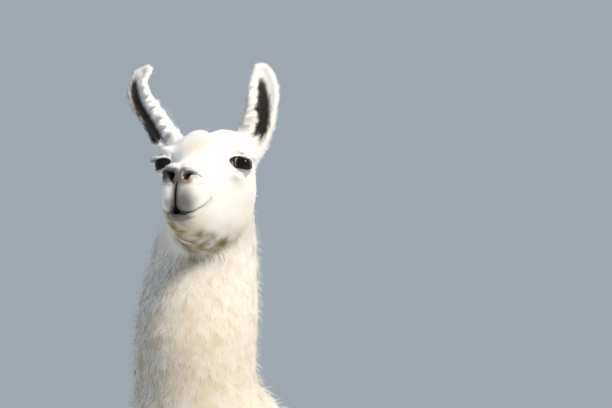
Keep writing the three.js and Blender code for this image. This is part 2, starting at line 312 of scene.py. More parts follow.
# Degrees round to the nose and up, along the edges of the lids: from the inner corner over the top and back.
# The right eye is a little more closed.
LID_EDGES = {
    1: smooth_track([
        (78, 12), (71, 23), (58, 33), (38, 35), (15, 33), (-8, 30), (-32, 26), (-52, 18), (-63, 4),
        (-50, -9), (-26, -20), (-8, -26), (19, -26), (40, -23), (56, -20), (68, -7),
    ], 5, closed=True),
    -1: smooth_track([
        (78, 6), (70, 17), (56, 25), (38, 29), (15, 29), (-8, 26), (-32, 22), (-52, 15), (-63, 3),
        (-50, -10), (-26, -20), (-8, -26), (19, -27), (40, -22), (56, -16), (68, -6),
    ], 5, closed=True),
}
DEGREE = EYE_RADIUS * pi / 180
LID_REACH = 45  # from the middle of the eye


def lid_gap(head, side):
    """Millimetres outwards from the edges of the lids, negative in the opening between them."""
    onward, up, distance = eye_places(head, side)
    near = (distance < LID_REACH) & (np.abs(up) < 80)
    gap = np.full(len(head), 99.0)
    gap[near] = outline_gap(np.column_stack([onward, up])[near], LID_EDGES[side]) * DEGREE
    return gap + np.maximum(distance - 28, 0)


def head_points():
    return to_head(read_points(hide_mesh)) / MM


def before_poll(head):
    """Whether each point is on the head or the ears, before a slanting plane behind them."""
    return ((head[:, 1] + 95) * 0.779 + (head[:, 2] - 175) * 0.627 > 0) & (head[:, 2] > -56)


split_finer(hide_mesh, before_poll(head_points()))
head = head_points()
at_eyes = (np.abs(head[:, 0]) > 38) & (far_from(np.abs(head), EYE_MIDDLE) < 34) & (head[:, 1] > 60)
on_nose = head[:, 1] > 195
split_finer(hide_mesh, at_eyes | on_nose)
head = head_points()
split_finer(hide_mesh, np.minimum(np.abs(lid_gap(head, 1)), np.abs(lid_gap(head, -1))) < 3.5)

points = read_points(hide_mesh)
edges = read_edges(hide_mesh)
head = to_head(points) / MM
face_rows = np.flatnonzero((head[:, 2] > -60) & (head[:, 1] > -60))
face = head[face_rows]
local = np.full(len(points), -1)
local[face_rows] = np.arange(len(face_rows))
face_edges = local[edges]
face_edges = face_edges[(face_edges >= 0).all(axis=1)]
relax(face, face_edges, 3, 0.4)


def face_normals():
    """Writes the shaped face back to the hide and reads its normals in the head's frame."""
    points[face_rows] = from_head(face * MM)
    write_points(hide_mesh, points)
    return read_normals(hide_mesh)[face_rows] @ HEAD_AXES


def mound(centre, size, rise, both=True):
    """Raises a soft mound on the face, or sinks a dent with a negative rise, on both sides or one."""
    for side in (1, -1) if both else (1,):
        away = np.linalg.norm((face - np.array(centre) * (side, 1, 1)) / size, axis=1)
        near = away < 1
        face[near] += normals[near] * (rise * (1 - away[near] ** 2) ** 2)[:, None]


REACH = 12  # that a stroke's box goes past its stations


def stroke(stations, both=True, crisp=False, along=None):
    """Draws a ridge or groove through rows of x, forward, up, half width and rise, laid on the skin."""
    for side in (1, -1) if both else (1,):
        track = smooth_track(stations, 6)
        track[:, 0] *= side
        low, high = track[:, :3].min(0) - REACH, track[:, :3].max(0) + REACH
        near = np.flatnonzero((face > low).all(1) & (face < high).all(1))
        for row in track:
            row[:3] = face[near[np.argmin(far_from(face[near], row[:3]))]]
        best = np.full(len(near), 1.0)
        rise = np.zeros(len(near))
        for start, end in zip(track, track[1:]):
            share, gap = along_line(face[near], start[:3], end[:3])
            gap /= start[3] + (end[3] - start[3]) * share
            closer = gap < best
            best[closer] = gap[closer]
            rise[closer] = (start[4] + (end[4] - start[4]) * share)[closer]
        fade = ramp(1, 0.35, best) if crisp else (1 - best**2) ** 2
        way = normals[near] if along is None else np.array(along) * (side, 1, 1)
        face[near] += way * (rise * fade)[:, None]


# Bones and muscles: brow, cheekbone, the hollows before and behind the eye, the crest of the cheek, the poll.
normals = face_normals()
mound((64, 112, 114), (20, 34, 16), 2.5)
mound((72, 70, 98), (16, 24, 24), -2.5)
mound((46, 160, 84), (16, 26, 18), -2.0)
mound((62, 122, 62), (22, 40, 16), 1.0)
mound((27, 62, 152), (24, 46, 26), 3.0)
mound((-4, 62, 155), (17, 60, 30), -6.5, both=False)
stroke([(62, 128, 58, 9, 0.3), (48, 175, 46, 10, 1.0), (38, 210, 38, 9, 0.3)])
stroke([(27, 236, 62, 6, -0.8), (33, 205, 66, 8, -1.8), (40, 170, 72, 8, -0.3)])

# Lids: a shell over the eyeball, open between the lids, with a crease above and a fainter one below. In the
# inner corner the shell stands clear of the ball over the pink flesh of the corner.
LID_THICKNESS = 1.9
CREASES = (2.2, 4.6), (0.8, 6.5)  # depth, and distance from the edge of the lid, above and below
CREASE_WIDTH = 1.3
CORNER_STANDS = 5.5  # that the shell stands off the ball in the inner corner
SUNK_OPENING = 3.5  # that the skin lies under the ball between the lids
around_eyes = np.minimum(lid_gap(face, 1), lid_gap(face, -1))
relax(face, face_edges, 20, 0.5 * ramp(18, 10, around_eyes))
for side in (1, -1):
    onward, up, distance = eye_places(face, side)
    gap = lid_gap(face, side)
    corner = ramp(50, 84, onward)
    shell = EYE_RADIUS + LID_THICKNESS * ramp(-0.5, 1.1, gap) + CORNER_STANDS * corner
    opening = EYE_RADIUS - SUNK_OPENING + 5.6 * ramp(56, 68, onward)
    target = opening + (shell - opening) * ramp(-1.5, 0.1, gap)
    deep, away = np.where(up[:, None] > 2, *CREASES).T
    target -= deep * np.exp(-(((gap - away) / CREASE_WIDTH) ** 2)) * (1 - corner)
    share = ramp(13, 3, gap) * (distance < LID_REACH)
    over_ball = EYE_RADIUS + LID_THICKNESS * ramp(40, 30, distance) * (gap > 0.5)
    scale = np.maximum(distance + (target - distance) * share, np.where(gap > 0.5, over_ball, 0)) / distance
    socket = EYE_MIDDLE * (side, 1, 1)
    face = socket + (face - socket) * scale[:, None]

# Lips and nose: two lobes of upper lip parted by a cleft, nostrils like commas, and the line of the mouth.
normals = face_normals()
mound((16, 274, 20), (17, 16, 22), 2.6)
mound((0, 262, -14), (20, 18, 12), 1.0, both=False)
mound((12, 264, 71), (12, 20, 11), 4.5)
mound((-26, 258, 63), (18, 30, 20), 7, both=False)
mound((0, 274, 66), (6, 16, 12), -1.5, both=False)
normals = face_normals()
stroke([(10, 278, 40, 5, 0.8), (23, 262, 45, 6, 1.6), (31, 240, 50, 6, 0.8)])
stroke([(9, 280, 43, 4, -3), (12, 278, 48, 6, -7), (12, 275, 55, 7.0, -17), (18, 266, 57.5, 3.8, -7),
        (26, 248, 57, 2.4, -3), (30, 239, 56, 1.8, -1)], crisp=True, along=(0.3, 0.95, 0))
normals = face_normals()
stroke([(-1, 283, 44, 1.8, -1), (-2, 282, 38, 2.2, -3.5), (-3.2, 281, 28, 2.5, -5), (-4, 279, 16, 2.7, -6),
        (-4, 277, 8, 3, -7), (-4, 275, 2, 6, -9)], both=False, along=(0, 1, 0))
stroke([(-17, 266, -4, 2.6, -5), (-10, 271, -2, 4, -9), (-4, 274, -1, 5, -12), (4, 272, -3, 4.5, -10),
        (10, 269, -4, 3, -6)], both=False, along=(0, 1, 0))
stroke([(8, 271, -4, 2.4, -4), (20, 265, -1, 1.9, -3), (27, 256, 4, 1.7, -2.4), (32, 234, 11, 1.7, -2.4),
        (35.5, 214, 20, 1.8, -2.4), (36.5, 204, 27, 1.8, -1.8), (36.5, 203, 33, 1.6, -0.6)])
normals = face_normals()
stroke([(4, 267, -11, 4, 0.5), (20, 262, -8, 4, 0.7), (29, 244, 2, 4, 0.5), (35, 214, 13, 4, 0.3)])
stroke([(40, 204, 40, 5, -0.8), (41, 197, 28, 5, -1.2), (40, 196, 16, 5, -0.6)])
relax(face, face_edges, 2, 0.25)
face_normals()

# The skin is thinned: first off the head and ears, then all of it, most where it is flat.
HIDE_FACES = 185_000
BODY_FACES = 80_000  # off the head and ears, after the first thinning
fine = before_poll(head_points())
hide_mesh.calc_loop_triangles()
after = 2 * np.count_nonzero(fine) + BODY_FACES
holder = placed("thin_draft", hide_mesh)
kept = holder.vertex_groups.new(name="fine")
kept.add(np.flatnonzero(fine).tolist(), 1.0, "REPLACE")
first = holder.modifiers.new("coarse", "DECIMATE")
first.ratio = after / len(hide_mesh.loop_triangles)
first.vertex_group = kept.name
first.invert_vertex_group = True
holder.modifiers.new("flat", "DECIMATE").ratio = HIDE_FACES / after
hide_mesh = applied(holder)
hide_mesh.name = "hide"
hide = placed("hide", hide_mesh)
hide_mesh.shade_smooth()

# Its own map of places on the skin.
hide_mesh.uv_layers.new(name="OFBake")
bpy.context.view_layer.objects.active = hide
hide.select_set(True)
bpy.ops.object.mode_set(mode="EDIT")
bpy.ops.mesh.select_all(action="SELECT")
bpy.ops.uv.smart_project(angle_limit=radians(66), island_margin=0.002, scale_to_bounds=True)
bpy.ops.object.mode_set(mode="OBJECT")
hide.select_set(False)

# Each ear by its spine in the head's frame, the way that it faces, its half widths from root to tip, and how
# far inwards and outwards the dark skin of its hollow reaches at a share of the way up.
EARS = {
    "ear_left": {
        "spine": [(58, 62, 84), (68, 58, 136), (76, 53, 175), (80, 48, 207), (78, 40, 240), (71, 31, 272)],
        "facing": (0.42, 1, 0.1), "half": (14, 27, 30, 30, 30, 27, 13),
        "dark": [(0.14, 0.0, 0.05), (0.22, -0.05, 0.25), (0.42, -0.1, 0.6), (0.55, -0.45, 0.45),
                 (0.68, -0.45, 0.3), (0.80, -0.25, 0.08), (0.90, -0.1, -0.15)],
    },
    "ear_right": {
        "spine": [(-54, 60, 92), (-76, 58, 138), (-103, 55, 176), (-125, 50, 205), (-136, 45, 230),
                  (-132, 41, 250), (-113, 37, 267)],
        "facing": (-0.35, 1, 0.1), "half": (13, 26, 26, 23, 24, 23, 11),
        "dark": [(0.18, 0.55, 0.66), (0.26, 0.38, 0.74), (0.42, 0.26, 0.7), (0.60, 0.18, 0.62),
                 (0.74, 0.05, 0.5), (0.84, 0.1, 0.3), (0.90, 0.15, 0.2)],
    },
}


def ear_places(head, name):
    """Share of the way up the ear, share of its half width outwards, and the ear's own directions."""
    ear = EARS[name]
    spine = smooth_track(ear["spine"], 8)
    run = np.concatenate([[0], np.cumsum(np.linalg.norm(np.diff(spine, axis=0), axis=1))])
    run /= run[-1]
    nearest = np.argmin(np.linalg.norm(head[:, None] - spine[None], axis=2), axis=1)
    upward = unit(np.gradient(spine, axis=0)[nearest])
    facing = np.array(ear["facing"]) / np.linalg.norm(ear["facing"])
    outward = unit(np.cross(facing, upward))
    outward *= np.sign(outward[:, :1] * spine[0, 0])
    half = np.interp(run, np.linspace(0, 1, len(ear["half"])), ear["half"])[nearest]
    across = ((head - spine[nearest]) * outward).sum(1) / half
    return run[nearest], across, upward, outward, facing


def track_gap(points, stations, sunk=1.0):
    """Distance of each point from a smooth band through stations of x, forward, up and half width.

    Sunk is how much of the distance forward counts: less where the skin has been sunk under the band.
    """
    track = smooth_track(stations, 4) * (1, sunk, 1, 1)
    points = points * (1, sunk, 1)
    gap = np.full(len(points), np.inf)
    for start, end in zip(track, track[1:]):
        share, away = along_line(points, start[:3], end[:3])
        gap = np.minimum(gap, away - start[3] - (end[3] - start[3]) * share)
    return gap


MOUTH_LINE = [(-4, 275, -1, 3.4), (7, 271, -4, 1.6), (19, 265, -2, 0.3), (27, 256, 4, 0), (32, 234, 11, -0.2),
              (35.5, 214, 20, -0.3), (36.5, 204, 27, -0.3)]
FAR_MOUTH_LINE = [(-4, 275, -1, 3.4), *((-x, f, z, half) for x, f, z, half in MOUTH_LINE[1:])]
CLEFT = [(-1, 283, 44, 0.3), (-2, 282, 38, 0.8), (-3.2, 281, 28, 0.9), (-4, 279, 16, 1.0), (-4, 276, 6, 2.0),
         (-4, 273, -1, 5.5)]
LOWER_LIP = [(-16, 264, -11, 3), (-4, 270, -12, 5), (10, 267, -12, 3.5), (22, 257, -7, 1.5)]
NOSTRIL = [(11, 276, 51, 4), (12, 274, 55, 6.0), (18, 266, 57.5, 2.6), (26, 248, 57, 1.2), (30, 239, 56, 0.5)]

# Where the markings lie on the finished skin, as shares from 0 to 1 that skin and coat both read.
hide_points = read_points(hide_mesh)
hide_normals = read_normals(hide_mesh)
hide_edges = read_edges(hide_mesh)
hide_head = to_head(hide_points) / MM
hide_head_normals = hide_normals @ HEAD_AXES
hide_names = nearest_parts(hide_points)
above_floor = hide_points[:, 2]
forward, height = hide_head[:, 1], hide_head[:, 2]
facing_forward, facing_up = hide_head_normals[:, 1], hide_head_normals[:, 2]
one_side = np.column_stack([np.abs(hide_head[:, 0]), forward, height])
off_front = (forward < 225) * 40.0
each_lid_gap = {side: lid_gap(hide_head, side) for side in (1, -1)}
lid_gaps = np.minimum(each_lid_gap[1], each_lid_gap[-1])
mouth_gap = np.minimum(track_gap(hide_head, MOUTH_LINE, 0.5), track_gap(hide_head, FAR_MOUTH_LINE, 0.5))
mouth_gap = np.maximum(mouth_gap, (forward < 190) * 40)
cleft_gap = track_gap(hide_head, CLEFT, 0.25) + off_front
nostril_gap = track_gap(one_side, NOSTRIL, 0.3) + off_front
lip_gap = track_gap(hide_head, LOWER_LIP, 0.5)
inner_corner = ramp(63, 66, np.max([
    np.where(gap < 0.3, eye_places(hide_head, side)[0], 0) for side, gap in each_lid_gap.items()], axis=0))
round_eye, up_eye, _ = eye_places(one_side, 1)
under_eye = ramp(-40, -25, round_eye) * ramp(62, 45, round_eye) * ramp(-8, -18, up_eye)
under_eye *= ramp(5.5, 3.0, lid_gaps)
# A grey line over the upper lid, painted as shade in its crease.
over_eye = ramp(-60, -45, round_eye) * ramp(50, 30, round_eye) * ramp(20, 32, up_eye)
over_eye *= np.exp(-((lid_gaps - 5) / 1.6) ** 2)
# Over the outer part of the upper lid the dark rim is left paler, as a painted highlight.
lid_painted_highlight = 0.6 * ramp(15, 25, up_eye) * ramp(35, 10, round_eye)
# The lip lobes are greyed partly as painted shade, more on the near lobe than on the far one.
lobe = far_from(hide_head, (11, 281, 14), (1, 0.6, 0.75))
far_lobe = far_from(hide_head, (-14, 279, 8), (1, 0.6, 0.8))
# Between the nostrils the grey is partly painted shade, on the septum where it faces forward.
bridge = far_from(one_side, (4, 280, 54), (1, 0.5, 0.62))
# Round the far nostril the skin is painted grey and dark as shade, on the side away from the key light.
far_nostril_shade_spot = far_from(hide_head, (-20, 262, 55), (1, 0.4, 0.75))
brow = far_from(hide_head, (-6, 150, 116), (1, 0.5, 1))
cheek = far_from(one_side, (55, 100, -18))
# Under the chin the tan is partly painted shade.
chin = far_from(one_side, (12, 232, -28))
# The far side of the chin is painted olive brown as shade.
far_chin = far_from(hide_head, (-18, 252, -26), (1, 0.8, 1.2))
throat = far_from(hide_points, HEAD_ORIGIN + (0.05, -0.15, -0.16), (1, 1, 0.6))
# Under the jaw the olive stain is laid where the skin faces down, so it is partly painted shade.
under_jaw = (ramp(-0.15, -0.7, facing_up) * ramp(-18, -34, height) * ramp(62, 90, forward)
             * ramp(235, 205, forward) * by_part(hide_names, {"head": 1, "jaw": 1}))
woolly = by_part(hide_names, {"neck_upper": 1, "neck_lower": 1, "trunk": 1, "tail": 1})
on_leg = by_part(hide_names, {"neck_upper": 0, "neck_lower": 0, "upper": 0.5, "lower": 0.25, "foot": 0.4})
marks = {
    # Thin grey skin of the nose and the front of the lips under very short hair, and painted shade in places.
    # Painted shade darkens the lip lobes and septum, and greys the far nostril's wing and the upper lid's
    # crease.
    "grey": (
        ramp(10, 4, nostril_gap) * ramp(240, 262, forward) * ramp(0.0, 0.4, facing_forward) * 0.55
        + ramp(12, 8, bridge) * ramp(0.2, 0.5, facing_forward) * 0.6
        + ramp(7, 1, cleft_gap) * 0.8 + ramp(30, 4, lobe) * 0.8 + ramp(12, 4, far_lobe) * 0.4
        + ramp(3, -1, lip_gap) * 0.6 + ramp(5, 0, mouth_gap) * 0.6 + ramp(17, 6, far_nostril_shade_spot) * 0.9
        + under_eye * 0.6 + over_eye * 0.75),
    # Bare dark skin of the lid rims, and painted shade in the nostrils, the cleft, the mouth line and round
    # the far nostril.
    "dark": (
        ramp(1.2, 0.2, lid_gaps) * (1 - lid_painted_highlight) + ramp(1.0, -1.0, nostril_gap)
        + ramp(1.0, -0.4, mouth_gap) * (0.35 + 0.6 * ramp(225, 262, forward)) + ramp(0.8, -0.6, cleft_gap)
        + ramp(10, 3, far_nostril_shade_spot) * 0.7),
    # Pink flesh in the inner corner of the eye.
    "pink": inner_corner,
    # Tan skin on the floor of the near nostril only; the far nostril is painted in shade instead.
    "floor": ramp(8, 3, far_from(hide_head, (15, 277, 46), (0.75, 0.4, 1))) * ramp(-1.5, 0.5, nostril_gap),
    # Olive brown under the jaw, where fodder and spittle dry on, and painted shade there and on the far side
    # of the chin.
    "stain_and_shade": under_jaw + 1.6 * ramp(38, 12, far_chin),
    # Cream and tan that wool and short hair of brow, bridge and jaw are stained with, and partly painted
    # shade under the chin.
    "tan": (
        0.65 * ramp(34, 8, brow) + 0.45 * ramp(60, 20, cheek) + 0.75 * ramp(50, 18, chin)
        + woolly * (0.65 - 0.3 * ramp(1.3, 1.48, above_floor)) + 0.4 * ramp(0.10, 0.03, throat) + on_leg),
}
marks = {name: np.clip(share, 0, 1) for name, share in marks.items()}
ear_up, ear_across, ear_inner = (np.zeros(len(hide_points)) for _ in range(3))
ear_upward, ear_outward = (np.tile((0.0, 0.0, 1.0), (len(hide_points), 1)) for _ in range(2))
for name, ear in EARS.items():
    here = hide_names == name
    share, across, upward, outward, facing = ear_places(hide_head[here], name)
    inner = hide_head_normals[here] @ facing
    ups, inwards, outwards = np.array(ear["dark"]).T
    inwards, outwards = np.interp(share, ups, inwards), np.interp(share, ups, outwards)
    span = ramp(inwards - 0.3, inwards + 0.12, across) * ramp(outwards + 0.22, outwards - 0.05, across)
    ends = ramp(ups[0] - 0.02, ups[0] + 0.06, share) * ramp(ups[-1], ups[-1] - 0.1, share)
    marks["dark"][here] = 0.98 * ramp(-0.1, 0.25, inner) * span * ends
    ear_up[here], ear_across[here], ear_inner[here] = share, across, inner
    ear_upward[here], ear_outward[here] = upward @ HEAD_AXES.T, outward @ HEAD_AXES.T
for name, rounds in (("tan", 25), ("stain_and_shade", 25), ("grey", 4)):
    relax(marks[name], hide_edges, rounds)


def write_mark(mesh, name, values):
    write(mesh.attributes.new(name, "FLOAT", "POINT").data, "value", values)


for name, values in marks.items():
    write_mark(hide_mesh, name, values)


def linear(code):
    """An sRGB hex colour as the linear values that a shader takes."""
    parts = [int(code[i:i + 2], 16) / 255 for i in (1, 3, 5)]
    return (*[p / 12.92 if p <= 0.04045 else ((p + 0.055) / 1.055) ** 2.4 for p in parts], 1)


def new_material(name):
    """A material, its tree of nodes and its shader."""
    material = bpy.data.materials.new(name)
    material.use_nodes = True
    return material, material.node_tree, material.node_tree.nodes["Principled BSDF"]


def add_node(tree, kind, settings=None, links=None):
    """A shader node with its settings, inputs by name or number, and links from other outputs."""
    node = tree.nodes.new("ShaderNode" + kind)
    for key, value in (settings or {}).items():
        if isinstance(key, int) or key in node.inputs:
            node.inputs[key].default_value = value
        else:
            setattr(node, key, value)
    for key, source in (links or {}).items():
        tree.links.new(source, node.inputs[key])
    return node


def mark_of(tree, name):
    return add_node(tree, "Attribute", {"attribute_name": name}).outputs["Fac"]


def place_of(tree):
    return add_node(tree, "TexCoord").outputs["Object"]


def noise(tree, place, apart, detail):
    """Soft noise whose patches lie so far apart, in metres."""
    settings = {"Scale": 1 / apart, "Detail": detail}
    return add_node(tree, "TexNoise", settings, {"Vector": place}).outputs["Fac"]


def carried(tree, value, low, high, to_low, to_high):
    """A value between low and high, carried over to another range."""
    settings = {"From Min": low, "From Max": high, "To Min": to_low, "To Max": to_high}
    return add_node(tree, "MapRange", settings, {"Value": value}).outputs[0]


def product(tree, one, other):
    return add_node(tree, "Math", {"operation": "MULTIPLY"}, {0: one, 1: other}).outputs[0]


def bumped(tree, shader, height, depth):
    """Bumps of that depth, in metres, on the surface."""
    bump = add_node(tree, "Bump", {"Strength": 0.5, "Distance": depth}, {"Height": height})
    tree.links.new(bump.outputs[0], shader.inputs["Normal"])


def mixed(tree, share, under, over):
    """Colour under with colour over laid on it by share; each is a hex code or an output."""
    node = add_node(tree, "Mix", {"data_type": "RGBA"}, {0: share})
    for place, colour in ((6, under), (7, over)):
        if isinstance(colour, str):
            node.inputs[place].default_value = linear(colour)
        else:
            tree.links.new(colour, node.inputs[place])
    return node.outputs[2]


def coat_colours(tree, streak):
    """The markings that skin and coat share: white, cream and tan in streaks, stain, grey nose, dark skin,
    painted shade.
    """
    tan = mark_of(tree, "tan")
    colour = mixed(tree, tan, mixed(tree, streak, "#FBFAF7", "#EEEAE3"), "#F4EBDB")
    colour = mixed(tree, product(tree, tan, streak), colour, "#E3D0AE")
    uneven = carried(tree, noise(tree, place_of(tree), 22 * MM, 3), 0.35, 0.65, 0.25, 1)
    # Olive brown of stain, and of painted shade under the jaw and chin.
    colour = mixed(tree, product(tree, mark_of(tree, "stain_and_shade"), uneven), colour, "#8E7B4B")
    colour = mixed(tree, mark_of(tree, "grey"), colour, "#6C6764")
    return mixed(tree, mark_of(tree, "dark"), colour, mixed(tree, streak, "#0F0B0A", "#2C201A"))


def short_haired_skin():
    """Living skin under flat hair: matt, with a nap as fine as the hair, and wet in the corner of the eye."""
    material, tree, shader = new_material("short_haired_skin")
    place = place_of(tree)
    along = add_node(tree, "Mapping", {"Scale": (1, 1, 0.3)}, {0: place}).outputs[0]
    colour = coat_colours(tree, noise(tree, place, 30 * MM, 3))
    colour = mixed(tree, mark_of(tree, "floor"), colour, "#A18460")
    colour = mixed(tree, mark_of(tree, "pink"), colour, "#3A2220")
    tree.links.new(colour, shader.inputs["Base Color"])
    wet = carried(tree, mark_of(tree, "pink"), 0, 1, 0.8, 0.25)
    tree.links.new(wet, shader.inputs["Roughness"])
    shader.inputs["Specular IOR Level"].default_value = 0.25
    bumped(tree, shader, noise(tree, along, 1.1 * MM, 2), 0.4 * MM)
    return material


hide_mesh.materials.clear()
hide_mesh.materials.append(short_haired_skin())
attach(hide, "root")
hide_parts(*FLESH)


# ---- Eyes ----
# Each eye is one wet ball, deep set between the lids: a clear cornea over a dark brown iris with a wide,
# level pupil, and a pink-brown rim where the white of the eye goes under the lids.

PUPIL_HALF = (7.0, 3.4)
# Degrees that each eye is turned towards the nose: the llama looks to its left.
GAZE = {1: 0, -1: 16}


def wet_eye():
    """Eyeball under its tears: mirror smooth, nearly black, brown only at the edge of the iris."""
    material, tree, shader = new_material("wet_eye")
    brown = mixed(tree, noise(tree, place_of(tree), 1.2 * MM, 4), "#080505", "#150C08")
    colour = mixed(tree, mark_of(tree, "white"), brown, "#C4B6BA")
    colour = mixed(tree, mark_of(tree, "pupil"), colour, "#060608")
    tree.links.new(colour, shader.inputs["Base Color"])
    shader.inputs["Roughness"].default_value = 0.05
    shader.inputs["IOR"].default_value = 1.376
    return material


def ring_faces(rings, around):
    """Faces between rings of so many points each, one ring after another."""
    faces = []
    for ring in range(rings - 1):
        low, high = ring * around, (ring + 1) * around
        faces += [(low + k, low + (k + 1) % around, high + (k + 1) % around, high + k) for k in range(around)]
    return faces


def welded(mesh):
    """Joins the points of a mesh that coincide, and turns its faces outwards."""
    whole = bmesh.new()
    whole.from_mesh(mesh)
    bmesh.ops.remove_doubles(whole, verts=whole.verts, dist=WELD)
    bmesh.ops.recalc_face_normals(whole, faces=whole.faces)
    whole.to_mesh(mesh)
    whole.free()
    mesh.shade_smooth()


def eyeball(name, side):
    """A ball of rings round the axis that the eye looks along, with the cornea standing out in front."""
    rings, around = 40, 64
    tilt = np.radians(np.linspace(0, 180, rings + 1))[:, None]
    turn = np.linspace(0, 2 * pi, around, endpoint=False)[None]
    cornea = 1.6 * ramp(38, 10, np.degrees(tilt))
    flat = [np.sin(tilt) * np.cos(turn), np.sin(tilt) * np.sin(turn), np.cos(tilt) + 0 * turn]
    flat = np.stack(flat, axis=2).reshape(-1, 3)
    swell = np.repeat(EYE_RADIUS + cornea, around, axis=1).reshape(-1, 1)
    ball = (flat @ eye_axes(side)) * swell + EYE_MIDDLE * (side, 1, 1)
    mesh = bpy.data.meshes.new(name)
    mesh.from_pydata(from_head(ball * MM), [], ring_faces(rings + 1, around))
    gaze = radians(GAZE[side])
    across, up, out = (flat @ np.array([(cos(gaze), 0, sin(gaze)), (0, 1, 0), (-sin(gaze), 0, cos(gaze))])).T
    off_pupil = np.hypot(across * EYE_RADIUS / PUPIL_HALF[0], up * EYE_RADIUS / PUPIL_HALF[1])
    write_mark(mesh, "pupil", ramp(1.25, 0.85, off_pupil) * (out > 0))
    write_mark(mesh, "white", ramp(58, 60, np.degrees(np.arccos(np.clip(out, -1, 1)))))
    welded(mesh)
    return placed(name, mesh)


eye_finish = wet_eye()
for node, side in (("eye_left", 1), ("eye_right", -1)):
    ball = eyeball(node + "_ball", side)
    ball.data.materials.append(eye_finish)
    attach(ball, "root")
    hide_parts(node)

# ---- Toenails ----
# Two toes on each foot end in a dark horn claw, narrow on top, curved down to the floor and ringed by growth.
# Each is rooted in the front of its toe, clear of the pad underneath.


RING_APART = 10.05 * MM
WAVE_APART = 2 * pi / 20  # of the wave pattern at a scale of 1, in metres


def worn_horn():
    """Horn that grows in rings and is rubbed dull: dark grey-brown, paler and scratched at the tip."""
    material, tree, shader = new_material("worn_horn")
    place = place_of(tree)
    settings = {"bands_direction": "Y", "Scale": WAVE_APART / RING_APART, "Distortion": 3.0, "Detail": 2.0}
    rings = add_node(tree, "TexWave", settings, {"Vector": place}).outputs["Fac"]
    colour = mixed(tree, noise(tree, place, 4 * MM, 6), "#2B211B", "#57483B")
    tree.links.new(mixed(tree, mark_of(tree, "tip"), colour, "#7A6A58"), shader.inputs["Base Color"])
    shader.inputs["Roughness"].default_value = 0.5
    bumped(tree, shader, rings, 0.3 * MM)
    return material


def nail(name):
    """A claw lofted along an arc inside the box of its solid, from the root in the toe down to the tip."""
    low, high = (np.array(corner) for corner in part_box(name))
    length, height = high[1] - low[1], high[2] - low[2]
    half = (high[0] - low[0]) / 2
    centre = (high[0] + low[0]) / 2
    steps, around = 18, 20
    share = np.linspace(0, 1, steps)[:, None]
    turn = np.linspace(0, 2 * pi, around, endpoint=False)[None]
    growth = 1 + 0.03 * np.sin(share * 34) * ramp(0, 0.15, share)
    width = half * (1 - 0.82 * share**1.8) * growth
    tall = height * 0.46 * (1 - 0.80 * share**1.5) * growth
    along = high[1] - length * (0.02 + 0.96 * np.sin(share * pi / 2) ** 1.1)
    middle_up = low[2] + height * (0.12 + 0.46 * np.cos(share * pi / 2) ** 0.9)
    side = np.sign(np.cos(turn)) * np.abs(np.cos(turn)) ** 0.8
    rise = np.where(np.sin(turn) > 0, np.sin(turn), 0.55 * np.sin(turn))
    x = centre + width * side * (1 - 0.25 * np.clip(rise, 0, 1))
    z = np.maximum(middle_up + tall * rise, low[2])
    claw = np.stack([x, along + 0 * turn, z], axis=2).reshape(-1, 3)
    ends = [tuple(range(around)), tuple(range((steps - 1) * around, steps * around))]
    mesh = bpy.data.meshes.new(name + "_claw")
    mesh.from_pydata(claw, [], ring_faces(steps, around) + ends)
    welded(mesh)
    write_mark(mesh, "tip", ramp(0.55, 1.0, (high[1] - read_points(mesh)[:, 1]) / length))
    return placed(name + "_claw", mesh)


horn = worn_horn()
for node in sorted(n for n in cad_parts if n.startswith("nail_")):
    claw = nail(node)
    claw.data.materials.append(horn)
    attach(claw, "root")
    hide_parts(node)

# ---- Coat: how a tuft grows ----
# The coat is grown from the skin in tufts: each is a thin closed lock of a few rings and a point, rooted just
# under the skin, lying along the lie of the coat, and drawn together with its neighbours towards the tip.

hide_mesh.calc_loop_triangles()
corners = read(hide_mesh.loop_triangles, "vertices", 3, np.int32)
corner_loops = read(hide_mesh.loop_triangles, "loops", 3, np.int32)
corner_places = read(hide_mesh.uv_layers["OFBake"].uv, "vector", 2)[corner_loops]
p, q, r = (hide_points[corners[:, k]] for k in range(3))
triangle_areas = np.linalg.norm(np.cross(q - p, r - p), axis=1) / 2
hide_tree = BVHTree.FromPolygons([Vector(v) for v in hide_points], corners.tolist())


def flattened(ways, normals):
    """Directions laid flat on the skin."""
    return unit(ways - (ways * normals).sum(1)[:, None] * normals)


def share_of(names, rounds=30):
    """1 on the skin of these parts and 0 elsewhere, with a soft border."""
    return relax(np.isin(hide_names, names).astype(float), hide_edges, rounds)


HEAD_PARTS = ["head", "lower_jaw"]
EAR_PARTS = ["ear_left", "ear_right"]
in_trunk = hide_names == "trunk"
# The lie of the coat: back from the nose, up the ears, down the neck and legs, back and down from the spine.
lie = np.tile((0.0, 0.12, -1.0), (len(hide_points), 1))
lie[in_trunk] = (0, 0.5, -1)
spine_side = np.clip(hide_points[in_trunk, 0] / 0.12, -1, 1)
lie[in_trunk, 0] = spine_side * np.clip(hide_normals[in_trunk, 2], 0, 1) * 0.8
from_nose = hide_head - (0, 296, 52)
from_nose[:, 2] -= 60 * ramp(200, 60, forward) * ramp(95, 40, height)
on_face = np.isin(hide_names, HEAD_PARTS)
lie[on_face] = unit(from_nose[on_face]) @ HEAD_AXES.T
on_ears = np.isin(hide_names, EAR_PARTS)
lie[on_ears] = unit(ear_upward + 0.5 * ear_outward * ramp(0.0, 0.4, ear_inner)[:, None])[on_ears]
for _ in range(3):
    lie = relax(flattened(lie, hide_normals), hide_edges, 5)
lie = flattened(lie, hide_normals)

PATCH = 0.0024  # of the bake map, that one tuft takes
THICKNESS = 0.18  # of a tuft, against its width
HIGHEST = 30 * MM  # that any tip stands off the skin
MARGIN = 0.001  # that the bake map keeps clear along its edges
SUNK = 0.8 * MM  # that a root lies under the skin
TUFT_SIDES = 3
FULLNESS = (0, 0.3, 0.65, 1), (0.75, 1.0, 0.8, 0.0)  # shares of the way to the tip, and of the width there
CRIMP_WAVES = 1.1  # from root to tip


